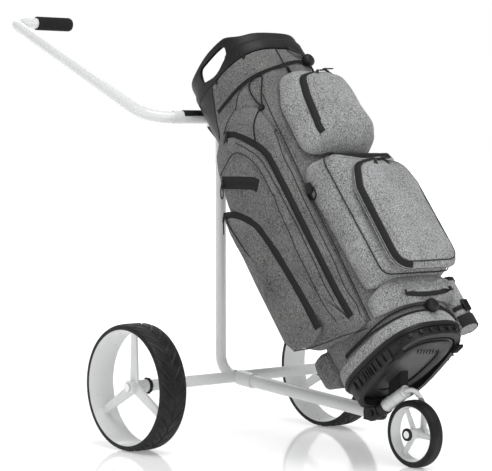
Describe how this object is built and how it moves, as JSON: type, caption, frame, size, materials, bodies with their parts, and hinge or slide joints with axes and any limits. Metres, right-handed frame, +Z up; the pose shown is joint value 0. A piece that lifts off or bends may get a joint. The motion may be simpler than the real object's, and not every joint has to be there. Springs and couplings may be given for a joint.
{
  "type": "golf bag on push cart",
  "caption": "Padded golf bag with front and side pockets, leaning on a folding push cart with spoked wheels and a side-bent pull handle.",
  "frame": {"origin": "on the floor, under the middle of the bounding box", "axes": "+X forwards, from the grip to the front wheel; +Y to the left, along the rear axle; +Z up from the floor"},
  "size_m": [1.409, 0.662, 1.0102],
  "materials": {
    "frame_paint": "gloss white paint",
    "wheel_plastic": "gloss white moulding",
    "black_plastic": "fine satin moulding",
    "grey_plastic": "matt moulding",
    "tyre_rubber": "matt rubber",
    "grip_rubber": "matt rubber",
    "dark_fabric": "heather woven polyester",
    "light_fabric": "heather woven polyester",
    "black_cord": "woven cord and webbing",
    "steel": "bright plated"
  },
  "bodies": {
    "cart": {"axle_tube": "frame_paint", "mast_tube": "frame_paint", "lower_beam": "frame_paint", "beam_socket": "frame_paint", "cross_sleeve": "frame_paint", "joint_ring": "frame_paint", "fold_yoke": "black_plastic", "bag_bracket": "black_plastic", "axle_spacer_right": "black_plastic", "axle_spacer_left": "black_plastic", "bag_collar": "black_plastic", "club_divider": "black_plastic", "back_saddle": "black_plastic", "bag_base": "black_plastic", "upper_knob": "black_plastic", "lower_knob": "black_plastic", "cord_lock": "black_plastic", "base_panel": "grey_plastic", "rest_pad": "grip_rubber", "base_foot_right": "grip_rubber", "base_foot_left": "grip_rubber", "bag_body": "dark_fabric", "back_bolster": "dark_fabric", "umbrella_cup": "dark_fabric", "side_pocket_right": "dark_fabric", "side_pocket_left": "dark_fabric", "side_pouch_right": "dark_fabric", "side_pouch_left": "dark_fabric", "upper_pouch": "light_fabric", "lower_pocket": "light_fabric", "ball_pocket": "light_fabric", "slot_pocket": "light_fabric", "upper_bungee": "black_cord", "lower_bungee": "black_cord", "front_loop": "black_cord", "draw_cord": "black_cord", "d_ring_tab_right": "black_cord", "d_ring_tab_left": "black_cord", "fold_pin": "steel", "handle_spigot": "steel", "axle_pin_right": "steel", "axle_pin_left": "steel", "bracket_bolt_right": "steel", "bracket_bolt_left": "steel", "umbrella_buckle": "steel"},
    "handle": {"handle_tube": "frame_paint", "grip": "grip_rubber"},
    "front_unit": {"fold_tongue": "black_plastic", "front_tube": "frame_paint", "front_fork": "frame_paint", "front_axle_pin": "steel", "base_rest": "grip_rubber"},
    "front_wheel": {"front_rim": "wheel_plastic", "front_tyre": "tyre_rubber"},
    "rear_wheel_right": {"rear_rim_right": "wheel_plastic", "rear_tyre_right": "tyre_rubber"},
    "rear_wheel_left": {"rear_rim_left": "wheel_plastic", "rear_tyre_left": "tyre_rubber"},
    "ring_right": {"d_ring_right": "steel"},
    "ring_left": {"d_ring_left": "steel"}
  },
  "joints": [
    {"name": "handle_fold", "type": "hinge", "parent": "cart", "child": "handle", "pos_m": [-0.04479, -0.1138, 0.74569], "axis": [-0.2924, -0.9563, 0], "range_deg": [-25, 85]},
    {"name": "front_fold", "type": "hinge", "parent": "cart", "child": "front_unit", "pos_m": [0.512, 0, 0.10569], "axis": [0, 1, 0], "range_deg": [0, 95]},
    {"name": "front_wheel_spin", "type": "hinge", "parent": "front_unit", "child": "front_wheel", "pos_m": [0.62, 0.008, 0.07169], "axis": [0, 1, 0], "continuous": true},
    {"name": "rear_spin_right", "type": "hinge", "parent": "cart", "child": "rear_wheel_right", "pos_m": [0.048, -0.297, 0.14219], "axis": [0, 1, 0], "continuous": true},
    {"name": "rear_spin_left", "type": "hinge", "parent": "cart", "child": "rear_wheel_left", "pos_m": [0.048, 0.297, 0.14219], "axis": [0, 1, 0], "continuous": true},
    {"name": "ring_swing_right", "type": "hinge", "parent": "cart", "child": "ring_right", "pos_m": [0.41667, -0.106, 0.58362], "axis": [-0.788, 0, -0.6157], "range_deg": [0, 150]},
    {"name": "ring_swing_left", "type": "hinge", "parent": "cart", "child": "ring_left", "pos_m": [0.41667, 0.112, 0.58362], "axis": [0.788, 0, 0.6157], "range_deg": [0, 150]}
  ]
}
